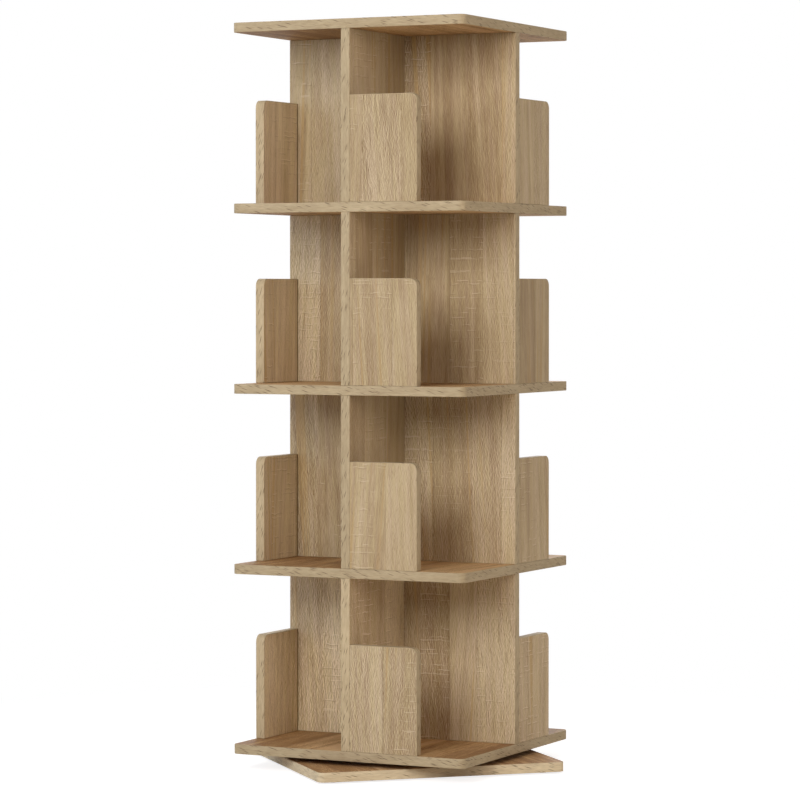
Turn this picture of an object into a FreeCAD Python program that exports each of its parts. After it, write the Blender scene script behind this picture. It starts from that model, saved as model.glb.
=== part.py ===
"""Four-tier revolving bookcase on a turntable base, in millimetres.

Origin: on the floor, on the turning axis. +Z up. X and Y run parallel to the tower's sides, and the
tower's front side faces -Y. Every tier has the same pinwheel of four dividers and four bookends: one
of each is made for the front side and turned by 90 degrees for the right, back and left sides.
"""
import FreeCAD, Part
import math
import os

# ---- Boards ----
BOARD_T = 15.0          # thickness of every board
SHELF_W = 400.0         # side of the square shelves, the top panel and the base plate
CORNER_R = 11.0         # rounded vertical corners of the square boards
TIERS = 4
TIER_H = 267.0          # clear height between two shelves
PINWHEEL = 6.7          # from the axis to a divider's bookend-side face, and to its inner end
BOOKEND_L = 115.0       # along the shelf's edge
BOOKEND_H = 165.0
BOOKEND_R = 12.0        # rounded free upper corner
BASE_TURN = 44.4        # angle of the base plate to the tower at rest, degrees

# ---- Floor glides: nail-on plastic discs ----
GLIDE_R = 12.0
GLIDE_H = 3.0
GLIDE_EDGE = 1.0        # rounded lower rim
GLIDE_INSET = 30.0      # from the base plate's sides to the disc's centre
NAIL_R = 1.0
NAIL_L = 11.0

# ---- Turntable: two aluminium rings with balls between them ----
TURNTABLE_H = 8.0       # base plate to bottom shelf
BALL_CIRCLE_R = 124.0
BALL_R = 2.5
BALL_COUNT = 30
GROOVE_R = 2.6          # ball groove in both rings
RING_GAP = 1.2          # radial gap between the rings
OUTER_RING_R = 150.0
INNER_RING_R = 98.0
RING_LIFT = 0.8         # each ring stays this far off the board that it slides over
RING_CHAMFER = 0.5
CAGE_T = 0.6
CAGE_MARGIN = 0.5       # above and below the cage
CAGE_POCKET_R = 2.6     # ball hole in the cage
RING_SCREWS = 8
BOLT_CIRCLE_R = 138.0   # machine bolts in the outer ring
SCREW_CIRCLE_R = 110.0  # wood screws in the inner ring

# ---- Fasteners: radii, heights and lengths; `key` is the drive socket across its flats ----
CONFIRMAT = {"length": 50.0, "plain": 15.0, "head_r": 5.0, "head_h": 2.0, "shank_r": 3.0,
             "core_r": 2.2, "pitch": 3.5, "key": 4.0}
MACHINE_BOLT = {"length": 20.0, "plain": 8.0, "head_r": 4.6, "head_h": 2.1, "shank_r": 2.5,
                "core_r": 2.1, "pitch": 0.8, "key": 3.0}
RING_SCREW = {"length": 16.0, "plain": 7.0, "head_r": 3.6, "head_h": 1.8, "shank_r": 1.8,
              "core_r": 1.2, "pitch": 1.6, "key": 2.0}
SOCKET_DEPTH = 1.5
HEAD_SINK = 0.2         # heads end this far below the board's face
HOLE_CLEARANCE = 0.05   # radial, round every screw and dowel

SCREW_AT = (75.0, 172.0)         # from the axis, along a divider
DOWEL_AT = (32.0, 140.0)         # from the axis, along a divider
BOOKEND_SCREW_AT = (25.0, 90.0)  # from the divider's face, along a bookend
BOOKEND_DOWEL_Z = 110.0          # above the shelf
DOWEL_R = 4.0
DOWEL_L = 30.0
DOWEL_SHORT_END = 9.0            # the part of a dowel that sits in the shelf's or divider's face
DOWEL_CHAMFER = 1.0
CAP_R = 6.5                      # stick-on cap, flush in a shallow recess over a screw head
CAP_T = 0.5
CAP_CLEARANCE = 0.1              # radial

# ---- Worked out ----
HALF = SHELF_W / 2
BASE_Z = GLIDE_H                                   # underside of the base plate
TURNTABLE_Z = BASE_Z + BOARD_T                     # top of the base plate
BOTTOM_Z = TURNTABLE_Z + TURNTABLE_H               # underside of the bottom shelf
TIER_PITCH = TIER_H + BOARD_T
MID = PINWHEEL - BOARD_T / 2                       # centre plane of the front divider, along X
BOOKEND_MID = -HALF + BOARD_T / 2                  # centre plane of the front bookend, along Y
UP = FreeCAD.Vector(0, 0, 1)
ORIGIN = FreeCAD.Vector(0, 0, 0)
SIDES = ("front", "right", "back", "left")
EPS = 1.0                                          # cutters run this far past a face


def shelf_bottom(level):
    """Underside of shelf number `level`: 0 is the bottom shelf and TIERS the top panel."""
    return BOTTOM_Z + level * TIER_PITCH


def shelf_top(level):
    return shelf_bottom(level) + BOARD_T


def screw_seat(level):
    """Face that the divider screws' heads end at: under the caps on the top panel."""
    return shelf_top(level) - (CAP_T if level == TIERS else 0.0)


def save(node, solids):
    """Write one node: a single solid, or a group of like fasteners."""
    shape = solids[0] if len(solids) == 1 else Part.makeCompound(solids)
    shape.exportStep("parts/" + node + ".step")


def turned(shape, degrees):
    return shape.rotated(ORIGIN, UP, degrees)


def at(shape, x, y, z):
    return shape.translated(FreeCAD.Vector(x, y, z))


def pinwheel(shape):
    """The shape on the front, right, back and left sides."""
    return [turned(shape, 90.0 * side) for side in range(4)]


def box(x0, x1, y0, y1, z0, z1):
    return Part.makeBox(x1 - x0, y1 - y0, z1 - z0, FreeCAD.Vector(x0, y0, z0))


def cylinder(radius, z0, z1):
    return Part.makeCylinder(radius, z1 - z0, FreeCAD.Vector(0, 0, z0))


def lathe(outline):
    """Solid of revolution round Z from (radius, height) points."""
    points = [FreeCAD.Vector(r, 0, z) for r, z in outline + outline[:1]]
    return Part.Face(Part.makePolygon(points)).revolve(ORIGIN, UP, 360)


def polar(shape, count, radius):
    """Copies of the shape round a circle, half a step off the X axis."""
    step = 360.0 / count
    first = at(shape, radius, 0, 0)
    return [turned(first, step * (i + 0.5)) for i in range(count)]


# ---- Fasteners, made with the head's face at z = 0 and the point down ----

def hexagon_socket(across_flats):
    radius = across_flats / math.sqrt(3)
    corners = [(radius * math.cos(math.radians(60 * i)), radius * math.sin(math.radians(60 * i)))
               for i in range(7)]
    outline = Part.makePolygon([FreeCAD.Vector(x, y, 0) for x, y in corners])
    return Part.Face(outline).extrude(FreeCAD.Vector(0, 0, -SOCKET_DEPTH))


def screw(kind):
    """Countersunk screw with a plain shank, a ridged thread, a point and a hexagon socket."""
    core_r = kind["core_r"]
    pitch = kind["pitch"]
    thread_top = -kind["plain"]
    tip = -kind["length"]
    ridges = int((thread_top - tip - pitch) / pitch)
    outline = [(0, 0), (kind["head_r"], 0), (kind["shank_r"], -kind["head_h"]),
               (kind["shank_r"], thread_top), (core_r, thread_top)]
    for i in range(ridges):
        crest = thread_top - pitch * (i + 0.5)
        outline += [(kind["shank_r"], crest), (core_r, crest - pitch / 2)]
    outline += [(core_r, tip + pitch), (0, tip)]
    return at(lathe(outline).cut(hexagon_socket(kind["key"])), 0, 0, -HEAD_SINK)


def screw_hole(kind):
    """Cutter for that screw: countersink, and a hole a little past the point."""
    slope = (kind["head_r"] - kind["shank_r"]) / kind["head_h"]
    rim_r = kind["head_r"] + HOLE_CLEARANCE + slope * HEAD_SINK
    hole_r = kind["shank_r"] + HOLE_CLEARANCE
    depth = kind["length"] + EPS
    return lathe([(0, EPS), (rim_r, EPS), (rim_r, 0), (hole_r, -kind["head_h"] - HEAD_SINK),
                  (hole_r, -depth), (0, -depth)])


def upside_down(shape):
    return shape.rotated(ORIGIN, FreeCAD.Vector(1, 0, 0), 180)


def dowel(grow=0.0):
    """Dowel along Z with its short end below z = 0; `grow` makes the hole for it."""
    r = DOWEL_R + grow
    low = -DOWEL_SHORT_END - grow
    high = DOWEL_L - DOWEL_SHORT_END + grow
    c = DOWEL_CHAMFER
    return lathe([(0, low), (r - c, low), (r, low + c), (r, high - c), (r - c, high), (0, high)])


def side_dowel(grow=0.0):
    """The dowel between the front bookend and its divider: along X, short end in the divider."""
    along_x = dowel(grow).rotated(ORIGIN, FreeCAD.Vector(0, 1, 0), 90)
    return at(along_x, PINWHEEL, BOOKEND_MID, BOOKEND_DOWEL_Z)


# ---- Places of the fasteners on the front side; z is left at the joint's own level ----

def along_divider(shape, distances):
    return [at(shape, MID, -r, 0) for r in distances]


def along_bookend(shape, distances):
    return [at(shape, PINWHEEL + d, BOOKEND_MID, 0) for d in distances]


def on_all_sides(shapes):
    return [copy for shape in shapes for copy in pinwheel(shape)]


def raised(shapes, z):
    return [at(shape, 0, 0, z) for shape in shapes]


def square_board(z):
    """Square board with rounded vertical corners, its underside at z."""
    plate = box(-HALF, HALF, -HALF, HALF, z, z + BOARD_T)
    upright_edges = [e for e in plate.Edges if abs(e.Vertexes[0].Z - e.Vertexes[-1].Z) > EPS]
    return plate.makeFillet(CORNER_R, upright_edges)


confirmat = screw(CONFIRMAT)
confirmat_hole = screw_hole(CONFIRMAT)
dowel_hole = dowel(HOLE_CLEARANCE)
divider_screws_down = on_all_sides(along_divider(confirmat, SCREW_AT))
divider_screws_up = on_all_sides(along_divider(upside_down(confirmat), SCREW_AT))
bookend_screws_up = on_all_sides(along_bookend(upside_down(confirmat), BOOKEND_SCREW_AT))
divider_holes_down = on_all_sides(along_divider(confirmat_hole, SCREW_AT))
divider_holes_up = on_all_sides(along_divider(upside_down(confirmat_hole), SCREW_AT))
bookend_holes_up = on_all_sides(along_bookend(upside_down(confirmat_hole), BOOKEND_SCREW_AT))
foot_dowels = on_all_sides(along_divider(dowel(), DOWEL_AT))
foot_dowel_holes = on_all_sides(along_divider(dowel_hole, DOWEL_AT))
side_dowels = pinwheel(side_dowel())


# ---- Base: plate, glides and the turntable's fixed half ----

def base_plate():
    bolt_hole = upside_down(screw_hole(MACHINE_BOLT))
    bolt_holes = raised(polar(bolt_hole, RING_SCREWS, BOLT_CIRCLE_R), BASE_Z)
    nail_hole = cylinder(NAIL_R + HOLE_CLEARANCE, BASE_Z - EPS, BASE_Z + NAIL_L + EPS)
    nail_holes = pinwheel(at(nail_hole, HALF - GLIDE_INSET, HALF - GLIDE_INSET, 0))
    return square_board(BASE_Z).cut(bolt_holes + nail_holes)


def floor_glides():
    disc = cylinder(GLIDE_R, 0, GLIDE_H)
    rim = [e for e in disc.Edges if e.BoundBox.ZMax < GLIDE_EDGE and e.Closed]
    glide = disc.makeFillet(GLIDE_EDGE, rim).fuse(cylinder(NAIL_R, EPS, GLIDE_H + NAIL_L))
    return pinwheel(at(glide, HALF - GLIDE_INSET, HALF - GLIDE_INSET, 0))


def ring(r_in, r_out, z0, z1):
    c = RING_CHAMFER
    return lathe([(r_in + c, z0), (r_out - c, z0), (r_out, z0 + c), (r_out, z1 - c),
                  (r_out - c, z1), (r_in + c, z1), (r_in, z1 - c), (r_in, z0 + c)])


BALL_Z = TURNTABLE_Z + TURNTABLE_H / 2
groove = Part.makeTorus(BALL_CIRCLE_R, GROOVE_R, FreeCAD.Vector(0, 0, BALL_Z))


def outer_ring():
    body = ring(BALL_CIRCLE_R + RING_GAP / 2, OUTER_RING_R, TURNTABLE_Z, BOTTOM_Z - RING_LIFT)
    bolt_hole = upside_down(screw_hole(MACHINE_BOLT))
    return body.cut([groove] + raised(polar(bolt_hole, RING_SCREWS, BOLT_CIRCLE_R), BASE_Z))


def inner_ring():
    low = TURNTABLE_Z + RING_LIFT
    body = ring(INNER_RING_R, BALL_CIRCLE_R - RING_GAP / 2, low, BOTTOM_Z)
    hole = upside_down(screw_hole(RING_SCREW))
    return body.cut([groove] + raised(polar(hole, RING_SCREWS, SCREW_CIRCLE_R), low))


def ball_cage():
    """Nylon ribbon with one round pocket for each ball."""
    low = TURNTABLE_Z + CAGE_MARGIN
    high = BOTTOM_Z - CAGE_MARGIN
    ribbon = cylinder(BALL_CIRCLE_R + CAGE_T / 2, low, high)
    ribbon = ribbon.cut(cylinder(BALL_CIRCLE_R - CAGE_T / 2, low - EPS, high + EPS))
    pocket = Part.makeCylinder(CAGE_POCKET_R, 2 * EPS, FreeCAD.Vector(-EPS, 0, BALL_Z),
                               FreeCAD.Vector(1, 0, 0))
    return ribbon.cut(polar(pocket, BALL_COUNT, BALL_CIRCLE_R))


def balls():
    return polar(Part.makeSphere(BALL_R, FreeCAD.Vector(0, 0, BALL_Z)), BALL_COUNT, BALL_CIRCLE_R)


def turntable_base_bolts():
    bolt = upside_down(screw(MACHINE_BOLT))
    return raised(polar(bolt, RING_SCREWS, BOLT_CIRCLE_R), BASE_Z)


def turntable_shelf_screws():
    wood_screw = upside_down(screw(RING_SCREW))
    low = TURNTABLE_Z + RING_LIFT
    return raised(polar(wood_screw, RING_SCREWS, SCREW_CIRCLE_R), low)


# ---- Tower: shelves, dividers, bookends and what holds them together ----

def bottom_shelf():
    ring_hole = upside_down(screw_hole(RING_SCREW))
    ring_holes = raised(polar(ring_hole, RING_SCREWS, SCREW_CIRCLE_R), TURNTABLE_Z + RING_LIFT)
    from_below = raised(divider_holes_up + bookend_holes_up, shelf_bottom(0))
    dowel_holes = raised(foot_dowel_holes, shelf_top(0))
    return square_board(shelf_bottom(0)).cut(ring_holes + from_below + dowel_holes)


def middle_shelf(level):
    from_above = raised(divider_holes_down + foot_dowel_holes, shelf_top(level))
    from_below = raised(bookend_holes_up, shelf_bottom(level))
    return square_board(shelf_bottom(level)).cut(from_above + from_below)


def cap_discs(radius):
    disc = cylinder(radius, screw_seat(TIERS), shelf_top(TIERS))
    return on_all_sides(along_divider(disc, SCREW_AT))


def top_panel():
    recesses = cap_discs(CAP_R + CAP_CLEARANCE)
    screw_holes = raised(divider_holes_down, screw_seat(TIERS))
    return square_board(shelf_bottom(TIERS)).cut(recesses + screw_holes)


def divider(tier):
    """Front divider: screwed through the shelf above, on dowels below; tier 1 also from below."""
    foot = shelf_top(tier - 1)
    board = box(PINWHEEL - BOARD_T, PINWHEEL, -HALF, -PINWHEEL, foot, foot + TIER_H)
    holes = raised(along_divider(confirmat_hole, SCREW_AT), screw_seat(tier))
    holes += raised(along_divider(dowel_hole, DOWEL_AT), foot)
    holes.append(at(side_dowel(HOLE_CLEARANCE), 0, 0, foot))
    if tier == 1:
        holes += raised(along_divider(upside_down(confirmat_hole), SCREW_AT), shelf_bottom(0))
    return board.cut(holes)


def bookend(tier):
    """Front bookend: half-height panel with one rounded upper corner, away from the divider."""
    foot = shelf_top(tier - 1)
    free_end = PINWHEEL + BOOKEND_L
    board = box(PINWHEEL, free_end, -HALF, -HALF + BOARD_T, foot, foot + BOOKEND_H)
    corner = [e for e in board.Edges
              if e.BoundBox.XMin > free_end - EPS and e.BoundBox.ZMin > foot + BOOKEND_H - EPS]
    board = board.makeFillet(BOOKEND_R, corner)
    holes = raised(along_bookend(upside_down(confirmat_hole), BOOKEND_SCREW_AT),
                   shelf_bottom(tier - 1))
    return board.cut(holes + [at(side_dowel(HOLE_CLEARANCE), 0, 0, foot)])


os.makedirs("parts", exist_ok=True)

fixed = {
    "base_plate": [base_plate()],
    "floor_glides": floor_glides(),
    "turntable_outer_ring": [outer_ring()],
    "turntable_base_bolts": turntable_base_bolts(),
}
for name, solids in fixed.items():
    save(name, [turned(solid, BASE_TURN) for solid in solids])

save("turntable_ball_cage", [ball_cage()])
save("turntable_balls", balls())
save("turntable_inner_ring", [inner_ring()])
save("turntable_shelf_screws", turntable_shelf_screws())
save("bottom_shelf", [bottom_shelf()])
save("bottom_shelf_screws", raised(divider_screws_up, shelf_bottom(0)))

for tier in range(1, TIERS + 1):
    prefix = "tier_" + str(tier) + "_"
    foot = shelf_top(tier - 1)
    for side, board in zip(SIDES, pinwheel(divider(tier))):
        save(prefix + "divider_" + side, [board])
    for side, board in zip(SIDES, pinwheel(bookend(tier))):
        save(prefix + "bookend_" + side, [board])
    save(prefix + "dowels", raised(foot_dowels + side_dowels, foot))
    save(prefix + "bookend_screws", raised(bookend_screws_up, shelf_bottom(tier - 1)))
    save(prefix + "shelf_screws", raised(divider_screws_down, screw_seat(tier)))
    if tier < TIERS:
        save("shelf_" + str(tier + 1), [middle_shelf(tier)])

save("top_panel", [top_panel()])
save("top_screw_caps", cap_discs(CAP_R))
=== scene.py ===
import math
import random

import bpy
from mathutils import Matrix, Vector


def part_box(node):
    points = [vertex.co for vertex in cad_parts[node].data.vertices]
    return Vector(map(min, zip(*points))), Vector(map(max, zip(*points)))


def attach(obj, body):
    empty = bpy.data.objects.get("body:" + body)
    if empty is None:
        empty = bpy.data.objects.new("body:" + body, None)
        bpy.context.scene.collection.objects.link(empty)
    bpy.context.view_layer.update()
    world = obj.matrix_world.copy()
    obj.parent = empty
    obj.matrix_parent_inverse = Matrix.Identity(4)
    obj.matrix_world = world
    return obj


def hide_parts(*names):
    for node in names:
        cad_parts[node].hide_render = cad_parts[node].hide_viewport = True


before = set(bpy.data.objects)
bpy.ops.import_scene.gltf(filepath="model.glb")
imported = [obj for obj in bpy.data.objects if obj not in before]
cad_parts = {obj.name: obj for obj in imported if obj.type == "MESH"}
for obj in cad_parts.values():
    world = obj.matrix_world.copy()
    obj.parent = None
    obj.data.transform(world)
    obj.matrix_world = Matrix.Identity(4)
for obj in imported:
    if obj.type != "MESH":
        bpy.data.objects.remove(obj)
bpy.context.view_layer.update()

# ---------------------------------------------------------------------------------------------
# Base plate. A square of 15 mm chipboard that stands on four glides and doesn't turn. Both faces
# carry a printed and embossed oak decor, and an edge band of matching tape runs round it. The
# other boards are made in the same way. Sizes are in metres where nothing else is said.
# ---------------------------------------------------------------------------------------------


def add(tree, kind, feeds=None, **settings):
    """One node of a tree, with its settings, its inputs fed by values or by other nodes' sockets."""
    made = tree.nodes.new(kind)
    for name, value in settings.items():
        setattr(made, name, value)
    for name, value in (feeds or {}).items():
        if isinstance(value, bpy.types.NodeSocket):
            tree.links.new(value, made.inputs[name])
        else:
            made.inputs[name].default_value = value
    return made


def maths(tree, operation, *values):
    """The result of one Math node."""
    made = add(tree, "ShaderNodeMath", dict(enumerate(values)), operation=operation)
    return made.outputs[0]


def vector(tree, x=0.0, y=0.0, z=0.0):
    """A vector of three numbers."""
    return add(tree, "ShaderNodeCombineXYZ", {"X": x, "Y": y, "Z": z}).outputs[0]


def plus(tree, first, second):
    """The sum of two vectors."""
    return add(tree, "ShaderNodeVectorMath", {0: first, 1: second}, operation="ADD").outputs[0]


def stretched(tree, coords, across, along):
    """Decor coordinates in units of `across` by `along` millimetres."""
    return add(tree, "ShaderNodeVectorMath", {0: coords, 1: (1000 / across, 1000 / along, 1.0)},
               operation="MULTIPLY").outputs[0]


def cloud(tree, coords, across, along, detail=2.0, rough=0.5):
    """Noise that is `across` millimetres wide and `along` millimetres long, from 0 to 1."""
    return add(tree, "ShaderNodeTexNoise",
               {"Vector": stretched(tree, coords, across, along), "Scale": 1.0, "Detail": detail,
                "Roughness": rough}).outputs["Fac"]


def stripes(tree, at, uneven, feature="F1"):
    """Cells one after another along a line, of a width of 1 that is more or less uneven."""
    return add(tree, "ShaderNodeTexVoronoi", {"W": at, "Scale": 1.0, "Randomness": uneven},
               voronoi_dimensions="1D", feature=feature).outputs


def draws(tree, colour):
    """The three random numbers that a random colour holds."""
    return add(tree, "ShaderNodeSeparateColor", {0: colour}).outputs


def ramp(tree, value, low, high, to_low=0.0, to_high=1.0):
    """Goes smoothly from `to_low` to `to_high` as the value goes from `low` to `high`."""
    return add(tree, "ShaderNodeMapRange",
               {0: value, 1: low, 2: high, 3: to_low, 4: to_high},
               interpolation_type="SMOOTHSTEP").outputs[0]


def scattered_dashes(tree, coords, across, along, core, rim, darkness):
    """Short marks along the grain, one in each cell of `across` by `along` millimetres.

    A mark is full inside `core` and gone at `rim`, in parts of its cell, and `darkness` is the
    ramp from the cell's random number to the mark's darkness."""
    cells = add(tree, "ShaderNodeTexVoronoi", {"Vector": stretched(tree, coords, across, along),
                                               "Scale": 1.0, "Randomness": 1.0}).outputs
    return maths(tree, "MULTIPLY", ramp(tree, cells["Distance"], core, rim, 1.0, 0.0),
                 ramp(tree, draws(tree, cells["Color"])[0], *darkness))


def blend_colour(tree, share, first, second, mode="MIX"):
    """Two colours blended, with this share of the second."""
    made = add(tree, "ShaderNodeMix", {0: share, 6: first, 7: second}, data_type="RGBA",
               blend_type=mode)
    return made.outputs[2]


def colour_ramp(tree, value, stops):
    """The colour for a value between stops, each a position and a colour."""
    made = add(tree, "ShaderNodeValToRGB", {0: value})
    elements = made.color_ramp.elements
    for position, colour in stops:
        elements.new(position).color = colour
    # the two that every new ramp has, at its ends
    elements.remove(elements[0])
    elements.remove(elements[-1])
    return made.outputs[0]


def new_material(name):
    """A material and its tree, still without nodes."""
    made = bpy.data.materials.new(name)
    made.use_nodes = True
    made.node_tree.nodes.clear()
    return made, made.node_tree


def surfaced(tree, colour, roughness, height, strength, depth, metallic=0.0, sheen=0.5):
    """Ends a material's tree: its colour and roughness, and a relief of `depth` metres."""
    relief = add(tree, "ShaderNodeBump", {"Strength": strength, "Distance": depth, "Height": height})
    surface = add(tree, "ShaderNodeBsdfPrincipled",
                  {"Base Color": colour, "Roughness": roughness, "Normal": relief.outputs[0],
                   "Metallic": metallic, "Specular IOR Level": sheen})
    add(tree, "ShaderNodeOutputMaterial", {"Surface": surface.outputs[0]})


# the print: strips and rows of saw marks in millimetres, and sheets of heartwood from a number on
STRIP_MM = 65
STRIPS_BETWEEN_SHEETS = 31.7
SAW_ROW_MM = 10
HEARTWOOD_SHEET = 20
DECOR_ROUGHNESS = 0.6
DECOR_SHEEN = 0.22
DARK_OAK = (0.251, 0.163, 0.085, 1)
MIDDLE_OAK = (0.461, 0.358, 0.220, 1)
PALE_OAK = (0.632, 0.528, 0.365, 1)
GOLDEN_OAK = (0.455, 0.305, 0.130, 1)
# the brown of the pores, and of the painted shade under the saw rows
PORE_AND_SHADE_BROWN = (0.215, 0.130, 0.060, 1)
SAWN_OAK = (0.660, 0.550, 0.390, 1)
# painted shade: the dark brown of a thin line painted where a bookend's end meets its upright, in the
# inner corner where shade falls
PAINTED_JOINT_SHADE = (0.055, 0.032, 0.016, 1)
# added to the place of the painted shade line where it is stored, so that 0 there means a board without
# one
JOINT_SHADE_OFFSET = 10.0


def oak_decor():
    """Printed and embossed oak: strips side by side, each with its own tone, grain and pores."""
    made, tree = new_material("oak_decor")
    where = add(tree, "ShaderNodeAttribute", attribute_name="decor").outputs["Vector"]
    across, along, sheet = add(tree, "ShaderNodeSeparateXYZ", {0: where}).outputs
    # strips, each from another length of another plank and leaning its own way
    strip_at = maths(tree, "MULTIPLY_ADD", maths(tree, "FLOOR", sheet), STRIPS_BETWEEN_SHEETS,
                     maths(tree, "MULTIPLY", across, 1000 / STRIP_MM))
    strip = stripes(tree, strip_at, 0.7)
    strip_edge = stripes(tree, strip_at, 0.7, "DISTANCE_TO_EDGE")["Distance"]
    tone_draw, hue_draw, lean_draw = draws(tree, strip["Color"])
    more = add(tree, "ShaderNodeTexWhiteNoise", {"W": strip["W"]}, noise_dimensions="1D")
    saw_draw, wave_draw, line_draw = draws(tree, more.outputs["Color"])
    own = plus(tree, where, vector(tree, y=maths(tree, "MULTIPLY", tone_draw, 3.0),
                                   z=maths(tree, "MULTIPLY", hue_draw, 9.0)))

    def moved(x):
        """The strip's own coordinates, moved sideways by x metres."""
        return plus(tree, own, vector(tree, x))

    lean = maths(tree, "MULTIPLY", along, ramp(tree, lean_draw, 0.0, 1.0, -0.06, 0.06))
    leaning = moved(lean)
    sway = maths(tree, "SUBTRACT", cloud(tree, own, 30, 60, 1.0), 0.5)
    sway = maths(tree, "MULTIPLY_ADD", sway, ramp(tree, wave_draw, 0.3, 0.95, 0.002, 0.010), lean)
    swayed = moved(sway)
    # tone: bands along the grain, fine streaks and soft clouds, stronger on a sheet of heartwood
    broad = ramp(tree, cloud(tree, leaning, 16, 900, 1.0), 0.34, 0.66)
    bands = cloud(tree, leaning, 7, 320, 2.0, 0.6)
    streaks = cloud(tree, swayed, 1.2, 26)
    clouds = cloud(tree, own, 40, 110)
    layers = ((broad, 0.14), (bands, 0.5), (streaks, 0.6), (clouds, 0.4), (tone_draw, 0.4))
    tone = 0.0
    for layer, weight in layers:
        tone = maths(tree, "MULTIPLY_ADD", maths(tree, "SUBTRACT", layer, 0.5), weight, tone)
    heartwood_and_painted_shade = ramp(tree, sheet, HEARTWOOD_SHEET - 1, HEARTWOOD_SHEET)
    stronger = ramp(tree, sheet, HEARTWOOD_SHEET - 1, HEARTWOOD_SHEET, 1.0, 2.5)
    tone = maths(tree, "MULTIPLY", tone, stronger)
    # relief: short dashes pressed in along the grain. The colour paints each dash dark with a pale rim
    # on
    # one side: painted shade and a painted highlight, as if lit from the side
    dashes = cloud(tree, swayed, 1.25, 8)
    beside = cloud(tree, moved(maths(tree, "ADD", sway, 0.0006)), 1.25, 8)
    relief = maths(tree, "SUBTRACT", beside, dashes)
    tone = maths(tree, "MULTIPLY_ADD", relief, ramp(tree, wave_draw, 0.1, 0.9, 0.7, 3.0), tone)
    colour = colour_ramp(tree, maths(tree, "ADD", tone, 0.5),
                         ((0.05, DARK_OAK), (0.5, MIDDLE_OAK), (0.95, PALE_OAK)))
    # hue: yellowish and pinkish streaks side by side, and a few narrow golden lines
    blush = blend_colour(tree, ramp(tree, cloud(tree, leaning, 6, 160), 0.38, 0.62),
                         (1.01, 1.01, 0.94, 1), (1.0, 0.98, 0.99, 1))
    colour = blend_colour(tree, 1.0, colour, blush, "MULTIPLY")
    gold = maths(tree, "MULTIPLY", ramp(tree, cloud(tree, leaning, 8, 900, 1.0), 0.60, 0.68),
                 ramp(tree, hue_draw, 0.3, 0.7))
    colour = blend_colour(tree, maths(tree, "MULTIPLY", gold, 0.6), colour, GOLDEN_OAK)
    # dark marks: pores, seams between some strips, and wavy lines in others
    pores = scattered_dashes(tree, swayed, 1.6, 11, 0.08, 0.34, (0.3, 0.8, 0.0, 0.8))
    seams = maths(tree, "MULTIPLY", ramp(tree, strip_edge, 0.006, 0.016, 1.0, 0.0),
                  ramp(tree, line_draw, 0.5, 0.7))
    waves = maths(tree, "MULTIPLY", ramp(tree, cloud(tree, swayed, 2.8, 50, 1.0), 0.58, 0.70),
                  ramp(tree, wave_draw, 0.55, 0.9, 0.0, 0.8))
    dark = maths(tree, "MAXIMUM", maths(tree, "MAXIMUM", pores, seams), waves)
    colour = blend_colour(tree, maths(tree, "MULTIPLY", dark, 0.45), colour, PORE_AND_SHADE_BROWN)
    # marks that the saw left across the grain of some strips: pale rows of print, each with a dark line
    # of painted shade below it
    wander = maths(tree, "MULTIPLY_ADD", cloud(tree, own, 12, 60, 1.0), 0.005, along)
    row_at = maths(tree, "MULTIPLY", wander, 1000 / SAW_ROW_MM)
    from_row = maths(tree, "SUBTRACT", row_at, stripes(tree, row_at, 1.0)["W"])
    share = maths(tree, "MULTIPLY", ramp(tree, cloud(tree, own, 18, 5), 0.47, 0.60),
                  ramp(tree, cloud(tree, own, 60, 90, 1.0), 0.44, 0.56))
    share = maths(tree, "MULTIPLY", share, ramp(tree, saw_draw, 0.4, 0.6))
    on_row = ramp(tree, maths(tree, "ABSOLUTE", from_row), 0.03, 0.10, 1.0, 0.0)
    pale = maths(tree, "MULTIPLY", on_row, share)
    from_shade = maths(tree, "ABSOLUTE", maths(tree, "ADD", from_row, 0.17))
    shade = maths(tree, "MULTIPLY", ramp(tree, from_shade, 0.03, 0.14, 1.0, 0.0), share)
    colour = blend_colour(tree, maths(tree, "MULTIPLY", shade, 0.28), colour, PORE_AND_SHADE_BROWN)
    colour = blend_colour(tree, maths(tree, "MULTIPLY", pale, 0.55), colour, SAWN_OAK)
    # no two sheets of the print are quite as dark: the fraction of the sheet's number says how
    # pale it is, and heartwood is reddish. Part of this is painted light and shade: pale, cooler
    # sheets stand in for light and sheen on a board, and dark, warmer ones and the heartwood's
    # redness for warm shade
    batch_tone_and_painted_light = blend_colour(tree, maths(tree, "FRACT", sheet), (0.60, 0.555, 0.48, 1),
                         (1.44, 1.485, 1.56, 1))
    colour = blend_colour(tree, 1.0, colour, batch_tone_and_painted_light, "MULTIPLY")
    reddened_partly_as_shade = blend_colour(tree, 1.0, colour, (1.16, 0.94, 0.74, 1), "MULTIPLY")
    colour = blend_colour(tree, heartwood_and_painted_shade, colour, reddened_partly_as_shade)
    # painted shade: a thin dark line along the end of the face, where the board's end meets its upright
    # and shade falls in the inner corner
    joint_shade_at = add(tree, "ShaderNodeAttribute", attribute_name="joint").outputs["Fac"]
    from_joint_shade = maths(tree, "SUBTRACT", maths(tree, "ADD", across, JOINT_SHADE_OFFSET), joint_shade_at)
    joint = ramp(tree, from_joint_shade, 0.0022, 0.0038, 0.85, 0.0)
    colour = blend_colour(tree, joint, colour, PAINTED_JOINT_SHADE)
    height = maths(tree, "SUBTRACT", maths(tree, "MULTIPLY", dashes, -1.0), dark)
    surfaced(tree, colour, DECOR_ROUGHNESS, height, 0.7, 0.0007, sheen=DECOR_SHEEN)
    return made


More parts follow.
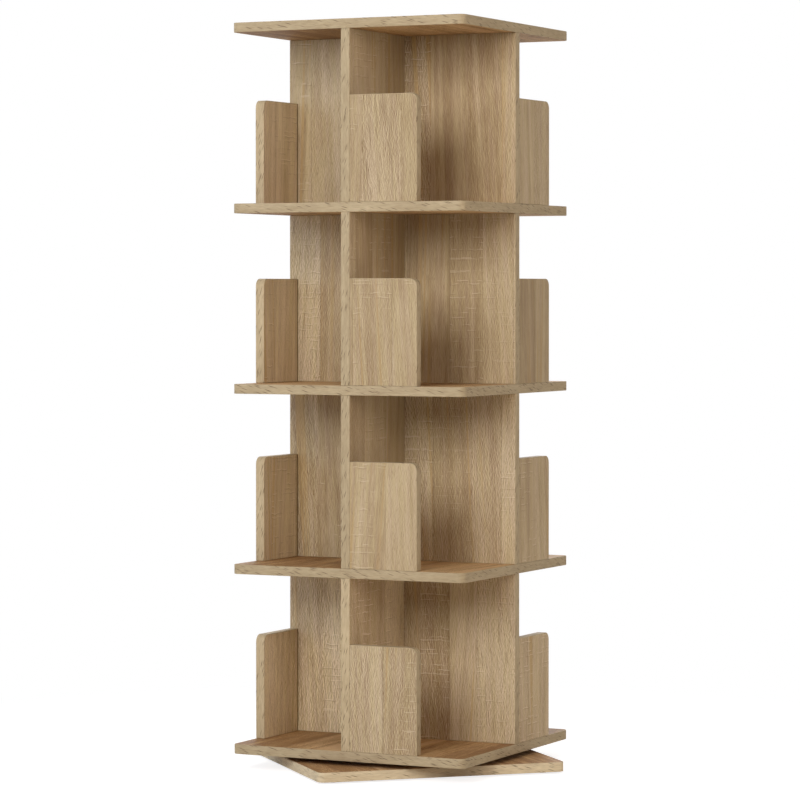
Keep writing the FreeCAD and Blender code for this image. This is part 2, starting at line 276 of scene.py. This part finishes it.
def oak_edge_band(name, tint):
    """Matching edging tape: thin dark dashes run slantwise along it."""
    made, tree = new_material(name)
    where = add(tree, "ShaderNodeAttribute", attribute_name="decor").outputs["Vector"]
    slant = (0, 0, math.radians(16))
    slanted = add(tree, "ShaderNodeMapping", {"Vector": where, "Rotation": slant}).outputs[0]
    dashes = scattered_dashes(tree, slanted, 1.7, 22, 0.14, 0.36, (0.3, 0.6))
    fibres = cloud(tree, where, 2.0, 15, 2.0, 0.6)
    clouds = cloud(tree, where, 12, 90, 2.0)
    tone = maths(tree, "ADD", maths(tree, "MULTIPLY", fibres, 0.6),
                 maths(tree, "MULTIPLY", clouds, 0.4))
    colour = colour_ramp(tree, tone, ((0.25, (0.335, 0.255, 0.150, 1)),
                                      (0.75, (0.520, 0.425, 0.272, 1))))
    colour = blend_colour(tree, maths(tree, "MULTIPLY", dashes, 0.95), colour,
                          (0.110, 0.070, 0.034, 1))
    # the tape of a pale board is paler too, so it carries the same painted light
    sheet = add(tree, "ShaderNodeSeparateXYZ", {0: where}).outputs[2]
    batch_tone_and_painted_light = ramp(tree, maths(tree, "FRACT", sheet), 0.5, 0.85, 1.0, 1.18)
    colour = add(tree, "ShaderNodeVectorMath", {0: colour, 3: batch_tone_and_painted_light}, operation="SCALE").outputs[0]
    colour = blend_colour(tree, 1.0, colour, tint, "MULTIPLY")
    height = maths(tree, "MULTIPLY_ADD", fibres, 0.3, maths(tree, "MULTIPLY", dashes, -1.0))
    surfaced(tree, colour, DECOR_ROUGHNESS, height, 0.4, 0.0006, sheen=DECOR_SHEEN)
    return made


ARRIS = 0.0008
ARRIS_STEPS = 4
SAME_PLACE = 1e-5


def banded_board_tree():
    """Geometry Nodes: a board from its outline. An open spline is its edge, closed ones are bores."""
    tree = bpy.data.node_groups.new("banded_board", "GeometryNodeTree")
    for name, kind in (("Outline", "Geometry"), ("Thickness", "Float"), ("Arris", "Float"),
                       ("Bore Depth", "Float"), ("Joint Shade", "Float"), ("Cut From", "Vector"),
                       ("Face Decor", "Material"), ("Edge Band", "Material")):
        tree.interface.new_socket(name, in_out="INPUT", socket_type="NodeSocket" + kind)
    tree.interface.new_socket("Board", in_out="OUTPUT", socket_type="NodeSocketGeometry")
    given = add(tree, "NodeGroupInput").outputs
    half = maths(tree, "MULTIPLY", given["Thickness"], 0.5)
    under = maths(tree, "MULTIPLY", half, -1.0)

    def lifted(shape, height):
        return add(tree, "GeometryNodeTransform",
                   {"Geometry": shape, "Translation": vector(tree, z=height)}).outputs[0]

    def joined(*shapes):
        made = add(tree, "GeometryNodeJoinGeometry")
        for shape in shapes:
            tree.links.new(shape, made.inputs[0])
        return made.outputs[0]

    def stored(mesh, name, value, kind):
        """The mesh with a named value at each face corner."""
        return add(tree, "GeometryNodeStoreNamedAttribute",
                   {"Geometry": mesh, "Name": name, "Value": value},
                   data_type=kind, domain="CORNER").outputs[0]

    def decorated(mesh, coords, material):
        """Stores where on the decor each face corner lies, and sets the material."""
        mesh = stored(mesh, "decor", plus(tree, coords, given["Cut From"]), "FLOAT_VECTOR")
        return add(tree, "GeometryNodeSetMaterial",
                   {"Geometry": mesh, "Material": material}).outputs[0]

    # the edge band: a profile with a rounded arris at both faces, swept round the outline
    run = add(tree, "GeometryNodeSplineParameter").outputs["Length"]

    def with_run(curve, name):
        """The curve, and under a name the way from its start to each of its points."""
        made = add(tree, "GeometryNodeCaptureAttribute", {"Geometry": curve})
        made.capture_items.new("FLOAT", name)
        tree.links.new(run, made.inputs[name])
        return made.outputs

    closed = add(tree, "GeometryNodeInputSplineCyclic").outputs[0]
    parts = add(tree, "GeometryNodeSeparateGeometry",
                {"Geometry": given["Outline"], "Selection": closed}, domain="CURVE").outputs
    bores = parts["Selection"]
    edge = with_run(parts["Inverted"], "Run")
    inward = maths(tree, "MULTIPLY", given["Arris"], -1.0)
    corners = [vector(tree, x, y)
               for x, y in ((inward, under), (0.0, under), (0.0, half), (inward, half))]
    profile = add(tree, "GeometryNodeCurvePrimitiveQuadrilateral",
                  {f"Point {i}": corner for i, corner in enumerate(corners, 1)},
                  mode="POINTS").outputs[0]
    profile = add(tree, "GeometryNodeSetSplineCyclic",
                  {"Geometry": profile, "Cyclic": False}).outputs[0]
    profile = add(tree, "GeometryNodeFilletCurve",
                  {"Curve": profile, "Radius": given["Arris"], "Count": ARRIS_STEPS},
                  mode="POLY").outputs[0]
    profile = with_run(profile, "Round")
    band = add(tree, "GeometryNodeCurveToMesh",
               {"Curve": edge[0], "Profile Curve": profile[0]}).outputs[0]
    band = decorated(band, vector(tree, profile["Round"], edge["Run"]), given["Edge Band"])
    band = add(tree, "GeometryNodeMergeByDistance",
               {"Geometry": band, "Distance": SAME_PLACE}).outputs[0]

    # the two faces fill the band's rims; the lower one has the bores and may have a painted shade line
    # at its end
    rim = add(tree, "GeometryNodeInputMeshEdgeNeighbors").outputs[0]
    rim = add(tree, "FunctionNodeCompare", {"A": rim, "B": 1}, data_type="INT",
              operation="EQUAL").outputs[0]
    place = add(tree, "GeometryNodeInputPosition").outputs[0]
    height = add(tree, "ShaderNodeSeparateXYZ", {0: place}).outputs[2]
    on_top = add(tree, "FunctionNodeCompare", {"A": height, "B": 0.0}, data_type="FLOAT",
                 operation="GREATER_THAN").outputs[0]

    def rim_curve(side):
        chosen = add(tree, "FunctionNodeBooleanMath", {0: rim, 1: side}, operation="AND").outputs[0]
        return add(tree, "GeometryNodeMeshToCurve", {"Mesh": band, "Selection": chosen}).outputs[0]

    def filled(curve, level):
        face = add(tree, "GeometryNodeFillCurve", {"Curve": curve}, mode="NGONS").outputs[0]
        return decorated(lifted(face, level), place, given["Face Decor"])

    top = filled(rim_curve(on_top), half)
    below = add(tree, "FunctionNodeBooleanMath", {0: on_top}, operation="NOT").outputs[0]
    bottom = filled(joined(rim_curve(below), bores), under)
    bottom = add(tree, "GeometryNodeFlipFaces", {"Mesh": bottom}).outputs[0]
    bottom = stored(bottom, "joint", given["Joint Shade"], "FLOAT")

    # the bores' walls, as deep as the screw heads need
    wall = add(tree, "GeometryNodeCurveToMesh", {"Curve": bores}).outputs[0]
    wall = add(tree, "GeometryNodeExtrudeMesh",
               {"Mesh": wall, "Offset": vector(tree, z=given["Bore Depth"]), "Offset Scale": 1.0},
               mode="EDGES").outputs[0]
    wall = decorated(lifted(wall, under), place, given["Face Decor"])

    flat = add(tree, "GeometryNodeSetShadeSmooth",
               {"Geometry": joined(top, bottom, wall), "Shade Smooth": False}).outputs[0]
    band = add(tree, "GeometryNodeSetShadeSmooth",
               {"Geometry": band, "Shade Smooth": True}).outputs[0]
    whole = add(tree, "GeometryNodeMergeByDistance",
                {"Geometry": joined(flat, band), "Distance": SAME_PLACE}).outputs[0]
    whole = add(tree, "GeometryNodeRealizeInstances", {"Geometry": whole}).outputs[0]
    add(tree, "NodeGroupOutput", {"Board": whole})
    return tree


board_tree = banded_board_tree()
face_decor = oak_decor()
edge_band = oak_edge_band("oak_edge_band", (1.0, 1.0, 1.0, 1))
BORE_DEPTH = 0.0025
BORE_POINTS = 24
# a corner's arc has fewer steps where its radius is small
SMALL_RADIUS = 0.005
SMALL_STEPS = 4
LARGE_STEPS = 11
# a board without a chosen place is cut from a drawn one, on one of nine sheets of a tone
sheet_draw = random.Random(20)
SHEETS = 9
SHEET_SIZE = 3
MIDDLE_TONE = 0.5


def drawn_cut(first_sheet, tone):
    """A place drawn at random: across and along the sheet, and its number with its tone."""
    return (sheet_draw.uniform(0, SHEET_SIZE), sheet_draw.uniform(0, SHEET_SIZE),
            first_sheet + sheet_draw.randrange(SHEETS) + tone)


def outline(width, length, corners, bores=()):
    """The board's edge from the middle of its foot, anticlockwise, and round bores (x, y, radius)."""
    curve = bpy.data.curves.new("outline", "CURVE")
    curve.dimensions = "3D"
    x, y = width / 2, length / 2
    edge = [(0.0, -y)]
    turns = ((x, -y, -90), (x, y, 0), (-x, y, 90), (-x, -y, 180))
    for (corner_x, corner_y, start), radius in zip(turns, corners):
        steps = SMALL_STEPS if radius < SMALL_RADIUS else LARGE_STEPS
        middle_x = corner_x - math.copysign(radius, corner_x)
        middle_y = corner_y - math.copysign(radius, corner_y)
        for i in range(steps + 1):
            angle = math.radians(start + 90 * i / steps)
            edge.append((middle_x + radius * math.cos(angle), middle_y + radius * math.sin(angle)))
    edge.append((0.0, -y))
    angles = [math.tau * i / BORE_POINTS for i in range(BORE_POINTS)]
    rings = [[(bore_x + radius * math.cos(angle), bore_y + radius * math.sin(angle))
              for angle in angles] for bore_x, bore_y, radius in bores]
    for line in [edge] + rings:
        spline = curve.splines.new("POLY")
        spline.points.add(len(line) - 1)
        spline.use_cyclic_u = line is not edge
        for point, (point_x, point_y) in zip(spline.points, line):
            point.co = (point_x, point_y, 0.0, 1.0)
    return curve


def cut_board(name, width, length, thickness, corners, bores=(), cut_from=None, band=edge_band,
              butted=False):
    """A finished board about its own middle: X across the grain, Y along it, +Z its upper face.

    It is cut from a place on the printed sheets: metres across and along, and the sheet's number.
    A butted board's -X end stands against another board, with a painted shade line along that end of
    its lower face."""
    blank = bpy.data.objects.new(name + "_outline", outline(width, length, corners, bores))
    bpy.context.scene.collection.objects.link(blank)
    cut_from = cut_from or drawn_cut(0, MIDDLE_TONE)
    modifier = blank.modifiers.new("board", "NODES")
    modifier.node_group = board_tree
    # where the painted shade line lies across the print; 0 for a board without one
    joint = JOINT_SHADE_OFFSET + cut_from[0] - width / 2 if butted else 0.0
    sizes = {"Thickness": thickness, "Arris": ARRIS, "Bore Depth": BORE_DEPTH, "Joint Shade": joint,
             "Cut From": cut_from, "Face Decor": face_decor, "Edge Band": band}
    for socket in board_tree.interface.items_tree:
        if socket.in_out == "INPUT" and socket.name in sizes:
            modifier[socket.identifier] = sizes[socket.name]
    seen = blank.evaluated_get(bpy.context.evaluated_depsgraph_get())
    mesh = bpy.data.meshes.new_from_object(seen)
    curve = blank.data
    bpy.data.objects.remove(blank)
    bpy.data.curves.remove(curve)
    board = bpy.data.objects.new(name, mesh)
    bpy.context.scene.collection.objects.link(board)
    return board


def fit(board, node, body, across, along, turn=0.0):
    """Puts the board where its CAD node is, its own X and Y along the given directions."""
    low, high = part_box(node)
    x, y = Vector(across), Vector(along)
    axes = Matrix((x, y, x.cross(y))).transposed().to_4x4()
    board.data.transform(Matrix.Translation((low + high) / 2) @ Matrix.Rotation(turn, 4, "Z") @ axes)
    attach(board, body)
    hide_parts(node)


low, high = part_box("bottom_shelf")
shelf_width = high.x - low.x
thickness = high.z - low.z
SHELF_CORNER = 0.011
BASE_TURN = math.radians(44.4)
BOLTS = 8
BOLT_CIRCLE = 0.138
BOLT_BORE = 0.00485
PLATE_CUT = (1.30, 0.70, HEARTWOOD_SHEET + 3.36)
shelf_corners = [SHELF_CORNER] * 4
bolt_angles = [math.radians(22.5 + 360 / BOLTS * i) for i in range(BOLTS)]
bolt_bores = [(BOLT_CIRCLE * math.cos(angle), BOLT_CIRCLE * math.sin(angle), BOLT_BORE)
              for angle in bolt_angles]
# painted light: the base plate's edge band is made much paler, standing in for the light on that low
# edge under the shelves' overhang
base_edge_band_painted_light = oak_edge_band("base_edge_band_painted_light", (1.58, 1.66, 1.80, 1))
plate = cut_board("base_plate_board", shelf_width, shelf_width, thickness, shelf_corners,
                  bolt_bores, PLATE_CUT, base_edge_band_painted_light)
fit(plate, "base_plate", "base", (-1, 0, 0), (0, -1, 0), BASE_TURN)

# ---------------------------------------------------------------------------------------------
# Shelves and top panel. Squares of the same decor board with their grain from front to back. The
# underside of each shelf has round bores for the heads of the screws that hold the bookends, and the
# lowest one those of its dividers too. The top panel has a shallow recess for each screw cap.
# ---------------------------------------------------------------------------------------------
SCREW_BORE = 0.00525
CAP_RECESS = 0.0066
# where the screws of the front side stand, from the turning axis
DIVIDER_MIDDLE = -0.0008
DIVIDER_SCREWS = (0.075, 0.172)
BOOKEND_MIDDLE = 0.1925
BOOKEND_SCREWS = (0.0317, 0.0967)
# the tone of their sheets, dark and reddish partly as painted shade, and the places of two boards
# with a pale and a dark half, which paint light across one part of each board and shade across
# the other
SHELF_TONE = 0.27
CUTS_WITH_PAINTED_LIGHT_AND_SHADE = {"shelf_2": (2.20, 0.20, HEARTWOOD_SHEET + SHELF_TONE),
               "top_panel": (0.43, 0.20, HEARTWOOD_SHEET + SHELF_TONE)}


def on_four_sides(points, radius):
    """Each point of the front side again on the right, the back and the left: (x, y, radius)."""
    bores = []
    for x, y in points:
        for _ in range(4):
            bores.append((x, y, radius))
            x, y = -y, x
    return bores


def shelf_cut(node):
    """The place on the heartwood sheets for a shelf or the top panel: the chosen one, with its painted
    light and shade, or a drawn one.
    """
    drawn = drawn_cut(HEARTWOOD_SHEET, SHELF_TONE)
    return CUTS_WITH_PAINTED_LIGHT_AND_SHADE.get(node, drawn)


bookend_bores = on_four_sides([(x, -BOOKEND_MIDDLE) for x in BOOKEND_SCREWS], SCREW_BORE)
divider_bores = on_four_sides([(DIVIDER_MIDDLE, -y) for y in DIVIDER_SCREWS], SCREW_BORE)
for node in ("bottom_shelf", "shelf_2", "shelf_3", "shelf_4"):
    bores = bookend_bores + divider_bores if node == "bottom_shelf" else bookend_bores
    shelf = cut_board(node + "_board", shelf_width, shelf_width, thickness, shelf_corners, bores,
                      shelf_cut(node))
    fit(shelf, node, "tower", (-1, 0, 0), (0, -1, 0))

# the top panel is cut upside down, so that its recesses face up
recesses = [(-x, y, CAP_RECESS) for x, y, _ in divider_bores]
panel = cut_board("top_panel_board", shelf_width, shelf_width, thickness, shelf_corners, recesses,
                  shelf_cut("top_panel"))
fit(panel, "top_panel", "tower", (-1, 0, 0), (0, 1, 0))

# ---------------------------------------------------------------------------------------------
# Dividers and bookends. Each tier has four uprights round the axis like the vanes of a pinwheel,
# and a low bookend with a rounded corner from each upright's outer end. All stand on dowels and are
# screwed through the shelves, so that no fastener shows on their faces. Their grain stands upright.
# ---------------------------------------------------------------------------------------------
TIERS = ("tier_1", "tier_2", "tier_3", "tier_4")
SIDES = ("front", "right", "back", "left")
EASED = 0.0012
BOOKEND_CORNER = 0.012
DIVIDER_CORNERS = [EASED] * 4
BOOKEND_CORNERS = [EASED, BOOKEND_CORNER, EASED, EASED]
# where the boards of three sides are cut from, tier by tier: metres across the sheet, and the
# sheet's number; the others' places are drawn. The tones of these sheets are partly painted light
# and shade: paler for boards that should look more lit, darker for those in deeper shade
CUT_FROM = {
    "divider_front": ((1.55, 8.86), (0.59, 2.43), (2.29, 1.50), (1.66, 4.33)),
    "divider_right": ((1.43, 5.63), (1.05, 7.60), (0.17, 4.53), (2.40, 7.63)),
    "divider_left": ((1.51, 6.88), (2.34, 2.57), (1.81, 1.63), (2.83, 6.57)),
    "bookend_front": ((2.52, 3.48), (0.64, 0.42), (0.18, 7.35), (2.64, 4.34)),
    "bookend_right": ((0.76, 6.68), (1.13, 2.52), (2.34, 4.30), (1.47, 2.48)),
    "bookend_left": ((1.60, 6.99), (1.78, 6.86), (2.80, 1.87), (0.73, 8.99)),
}


def stand_up(kind, tier, side, corners, across, butted=False):
    """Cuts an upright board of a tier and stands it where its CAD node is."""
    node = f"{tier}_{kind}_{side}"
    low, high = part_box(node)
    size = high - low
    places = CUT_FROM.get(f"{kind}_{side}")
    cut_from = None
    if places:
        at, sheet = places[TIERS.index(tier)]
        cut_from = (at, size.z / 2, sheet)
    board = cut_board(node + "_board", max(size.x, size.y), size.z, thickness, corners,
                      cut_from=cut_from, butted=butted)
    fit(board, node, "tower", across, (0, 0, 1))


for tier in TIERS:
    for quarter, side in enumerate(SIDES):
        spin = Matrix.Rotation(quarter * math.pi / 2, 3, "Z")
        stand_up("divider", tier, side, DIVIDER_CORNERS, spin @ Vector((0, 1, 0)))
        stand_up("bookend", tier, side, BOOKEND_CORNERS, spin @ Vector((1, 0, 0)), butted=True)

# ---------------------------------------------------------------------------------------------
# Turntable. Two turned aluminium rings, one bolted to the base plate and one screwed under the
# lowest shelf, with steel balls in the groove between them. A nylon ribbon keeps the balls apart.
# ---------------------------------------------------------------------------------------------


def finish_nodes(material, *nodes):
    """Gives the CAD meshes of these nodes a material."""
    for node in nodes:
        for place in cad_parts[node].material_slots:
            place.material = material


def on_the_piece(tree, x, y, z):
    """Object coordinates in units of x, y and z millimetres."""
    at = add(tree, "ShaderNodeTexCoord").outputs["Object"]
    return add(tree, "ShaderNodeVectorMath", {0: at, 1: (1000 / x, 1000 / y, 1000 / z)},
               operation="MULTIPLY").outputs[0]


def fine_noise(tree, coords, detail=2.0):
    """Noise whose grain is one unit of the coordinates, from 0 to 1."""
    return add(tree, "ShaderNodeTexNoise",
               {"Vector": coords, "Scale": 1.0, "Detail": detail}).outputs["Fac"]


def anodised_aluminium():
    """Clear anodised, with the fine rings that the lathe left round the axis."""
    made, tree = new_material("anodised_aluminium")
    x, y, _ = add(tree, "ShaderNodeSeparateXYZ", {0: on_the_piece(tree, 1, 1, 1)}).outputs
    radius = add(tree, "ShaderNodeVectorMath", {0: vector(tree, x, y)},
                 operation="LENGTH").outputs["Value"]
    turned = add(tree, "ShaderNodeTexNoise",
                 {"W": maths(tree, "MULTIPLY", radius, 2.5), "Scale": 1.0, "Detail": 3.0},
                 noise_dimensions="1D").outputs["Fac"]
    clouds = fine_noise(tree, on_the_piece(tree, 12, 12, 12))
    tone = maths(tree, "MULTIPLY_ADD", turned, 0.5, maths(tree, "MULTIPLY", clouds, 0.5))
    colour = blend_colour(tree, tone, (0.54, 0.54, 0.56, 1), (0.70, 0.70, 0.72, 1))
    polish = ramp(tree, turned, 0.2, 0.8, 0.28, 0.42)
    surfaced(tree, colour, polish, turned, 0.3, 0.0001, metallic=1.0)
    return made


def metal(name, dark, pale, scale, roughness):
    """Bright metal whose tone and polish change slightly over `scale` millimetres."""
    made, tree = new_material(name)
    patches = fine_noise(tree, on_the_piece(tree, scale, scale, scale), 3.0)
    colour = blend_colour(tree, ramp(tree, patches, 0.3, 0.7), dark, pale)
    polish = ramp(tree, patches, 0.3, 0.7, roughness, roughness + 0.12)
    surfaced(tree, colour, polish, patches, 0.2, 0.00005, metallic=1.0)
    return made


def plastic(name, dark, pale, grain, roughness):
    """Moulded plastic with a fine grain of `grain` millimetres."""
    made, tree = new_material(name)
    speckle = fine_noise(tree, on_the_piece(tree, grain, grain, grain), 3.0)
    patches = fine_noise(tree, on_the_piece(tree, 14, 14, 14))
    colour = blend_colour(tree, ramp(tree, patches, 0.3, 0.7), dark, pale)
    gloss = ramp(tree, speckle, 0.3, 0.7, roughness, roughness + 0.1)
    surfaced(tree, colour, gloss, speckle, 0.3, 0.0001)
    return made


finish_nodes(anodised_aluminium(), "turntable_outer_ring", "turntable_inner_ring")
finish_nodes(metal("polished_steel", (0.56, 0.56, 0.57, 1), (0.62, 0.62, 0.63, 1), 4, 0.08),
             "turntable_balls")
finish_nodes(plastic("natural_nylon", (0.74, 0.73, 0.68, 1), (0.82, 0.81, 0.77, 1), 0.4, 0.42),
             "turntable_ball_cage")

# ---------------------------------------------------------------------------------------------
# Glides. Four black plastic discs nailed under the base plate near its corners.
# The bookcase stands on them, a few millimetres off the floor.
# ---------------------------------------------------------------------------------------------
finish_nodes(plastic("black_plastic", (0.035, 0.035, 0.038, 1), (0.055, 0.055, 0.06, 1), 0.5, 0.38),
             "floor_glides")

# ---------------------------------------------------------------------------------------------
# Fasteners. Zinc plated screws and bolts, sunk a little below the boards' faces, and bare beech
# dowels at the uprights' feet and between each bookend and its upright.
# ---------------------------------------------------------------------------------------------


def beech():
    """Bare beech: straight grain along the dowel with short dark flecks."""
    made, tree = new_material("bare_beech")
    grain = fine_noise(tree, on_the_piece(tree, 0.9, 0.9, 14), 3.0)
    flecks = ramp(tree, fine_noise(tree, on_the_piece(tree, 0.5, 0.5, 2.2)), 0.62, 0.72)
    colour = blend_colour(tree, grain, (0.47, 0.30, 0.155, 1), (0.63, 0.44, 0.26, 1))
    colour = blend_colour(tree, maths(tree, "MULTIPLY", flecks, 0.5), colour, (0.30, 0.17, 0.08, 1))
    surfaced(tree, colour, 0.65, grain, 0.3, 0.0001)
    return made


finish_nodes(metal("bright_zinc", (0.50, 0.51, 0.53, 1), (0.62, 0.63, 0.63, 1), 3, 0.24),
             "turntable_base_bolts", "turntable_shelf_screws", "bottom_shelf_screws",
             *[tier + "_shelf_screws" for tier in TIERS], *[tier + "_bookend_screws" for tier in TIERS])
finish_nodes(beech(), *[tier + "_dowels" for tier in TIERS])

# ---------------------------------------------------------------------------------------------
# Screw caps. Thin discs of plastic foil with a print that matches the boards, stuck into the top
# panel's recesses over the eight screw heads.
# ---------------------------------------------------------------------------------------------


def printed_foil():
    """Foil printed with streaks and short dashes along the panel's grain."""
    made, tree = new_material("printed_foil")
    streaks = fine_noise(tree, on_the_piece(tree, 1.8, 50, 50))
    dashes = fine_noise(tree, on_the_piece(tree, 1.9, 9, 9))
    tone = maths(tree, "MULTIPLY_ADD", dashes, 0.5, maths(tree, "MULTIPLY", streaks, 0.5))
    colour = blend_colour(tree, ramp(tree, tone, 0.3, 0.7), (0.30, 0.185, 0.095, 1),
                          (0.60, 0.42, 0.25, 1))
    surfaced(tree, colour, 0.55, dashes, 0.4, 0.0002, sheen=0.2)
    return made


finish_nodes(printed_foil(), "top_screw_caps")

# ---------------------------------------------------------------------------------------------
# Studio. White paper under the tower and a white room round it. The main light is in front, with
# a cool one to its left and a warm one to its right. Others light the back, the sides and the top.
# ---------------------------------------------------------------------------------------------
FLOOR_HALF = 20
# the soft shade on the paper round the tower fades out between these distances from the axis
SHADE_FADES = (0.5, 1.1)
WHITE = (1, 1, 1, 1)


def looked_at(tree):
    """1 where the camera, a glossy or a clear surface looks, and 0 for light sent back at things."""
    path = add(tree, "ShaderNodeLightPath").outputs
    direct = maths(tree, "MAXIMUM", path["Is Camera Ray"], path["Is Glossy Ray"])
    return maths(tree, "MAXIMUM", direct, path["Is Transmission Ray"])


def white_paper():
    """Paper that looks white, but sends back no more light than a dull warm board."""
    made, tree = new_material("floor_paper")
    lit = add(tree, "ShaderNodeBsdfDiffuse", {"Color": (0.5, 0.5, 0.5, 1)}).outputs[0]
    glow = add(tree, "ShaderNodeEmission", {"Color": WHITE, "Strength": 0.8}).outputs[0]
    near = add(tree, "ShaderNodeAddShader", {0: lit, 1: glow}).outputs[0]
    far = add(tree, "ShaderNodeEmission", {"Color": WHITE, "Strength": 1.0}).outputs[0]
    place = add(tree, "ShaderNodeTexCoord").outputs["Object"]
    distance = add(tree, "ShaderNodeVectorMath", {0: place}, operation="LENGTH").outputs["Value"]
    white = add(tree, "ShaderNodeMixShader",
                {0: ramp(tree, distance, *SHADE_FADES), 1: near, 2: far}).outputs[0]
    dull = add(tree, "ShaderNodeBsdfDiffuse", {"Color": (0.82, 0.74, 0.64, 1)}).outputs[0]
    shown = add(tree, "ShaderNodeMixShader", {0: looked_at(tree), 1: dull, 2: white}).outputs[0]
    add(tree, "ShaderNodeOutputMaterial", {"Surface": shown})
    return made


floor_mesh = bpy.data.meshes.new("floor")
floor_mesh.from_pydata([(-FLOOR_HALF, -FLOOR_HALF, 0), (FLOOR_HALF, -FLOOR_HALF, 0),
                        (FLOOR_HALF, FLOOR_HALF, 0), (-FLOOR_HALF, FLOOR_HALF, 0)],
                       [], [(0, 1, 2, 3)])
floor_mesh.materials.append(white_paper())
floor = bpy.data.objects.new("floor", floor_mesh)
bpy.context.scene.collection.objects.link(floor)

world = bpy.data.worlds.new("studio")
bpy.context.scene.world = world
world.use_nodes = True
room = world.node_tree
room.nodes.clear()
walls = blend_colour(room, looked_at(room), (0.040, 0.032, 0.025, 1), WHITE)
sky = add(room, "ShaderNodeBackground", {"Color": walls, "Strength": 1.0}).outputs[0]
add(room, "ShaderNodeOutputWorld", {"Surface": sky})

AIM_HEIGHT = 0.6


def softbox(name, azimuth, elevation, distance, size, power, colour):
    """A square light round the tower: azimuth 0 is the front, 90 the right side."""
    light = bpy.data.lights.new(name, "AREA")
    light.shape = "SQUARE"
    light.size = size
    light.energy = power
    light.color = colour
    lamp = bpy.data.objects.new(name, light)
    turn = math.radians(azimuth)
    rise = math.radians(elevation)
    back = Vector((math.sin(turn) * math.cos(rise), -math.cos(turn) * math.cos(rise),
                   math.sin(rise)))
    lamp.location = Vector((0, 0, AIM_HEIGHT)) + back * distance
    lamp.rotation_euler = (-back).to_track_quat("-Z", "Y").to_euler()
    bpy.context.scene.collection.objects.link(lamp)


softbox("front_light", 2, 20, 4.0, 1.6, 76, (1.01, 1.01, 1.0))
softbox("cool_light", -38, 12, 4.0, 2.0, 24, (0.85, 1.02, 1.35))
softbox("right_front_light", 41, 26, 4.0, 2.0, 36, (1.12, 0.96, 0.88))
softbox("right_light", 112, 5, 4.0, 2.0, 27, (1.08, 1.02, 0.95))
softbox("back_light", 195, 25, 4.0, 2.5, 56, (1.0, 1.0, 1.0))
softbox("left_light", -100, 15, 4.0, 2.5, 24, (1.0, 1.0, 1.0))
softbox("overhead_light", 0, 88, 3.0, 2.5, 27, (1.0, 1.0, 1.0))

# the camera stands to the right of the front, somewhat above half the tower's height
AXIS_TO_CAMERA = 5.4275
CAMERA_HEIGHT = 0.7483
AZIMUTH = math.radians(26.217)
SIDESTEP = 0.0047
TILT = math.radians(1.0)
FOCAL = 153.67
LENS_SHIFT = -0.06
camera_data = bpy.data.cameras.new("camera")
camera_data.sensor_width = 36.0
camera_data.lens = FOCAL
camera_data.shift_y = LENS_SHIFT
camera_data.clip_end = 100
camera = bpy.data.objects.new("camera", camera_data)
bpy.context.scene.collection.objects.link(camera)
right = Vector((math.cos(AZIMUTH), math.sin(AZIMUTH), 0))
back = Vector((math.sin(AZIMUTH), -math.cos(AZIMUTH), 0))
camera.location = back * AXIS_TO_CAMERA - right * SIDESTEP + Vector((0, 0, CAMERA_HEIGHT))
camera.rotation_euler = (math.pi / 2 - TILT, 0, AZIMUTH)
bpy.context.scene.camera = camera
bpy.context.scene.view_settings.view_transform = "Standard"
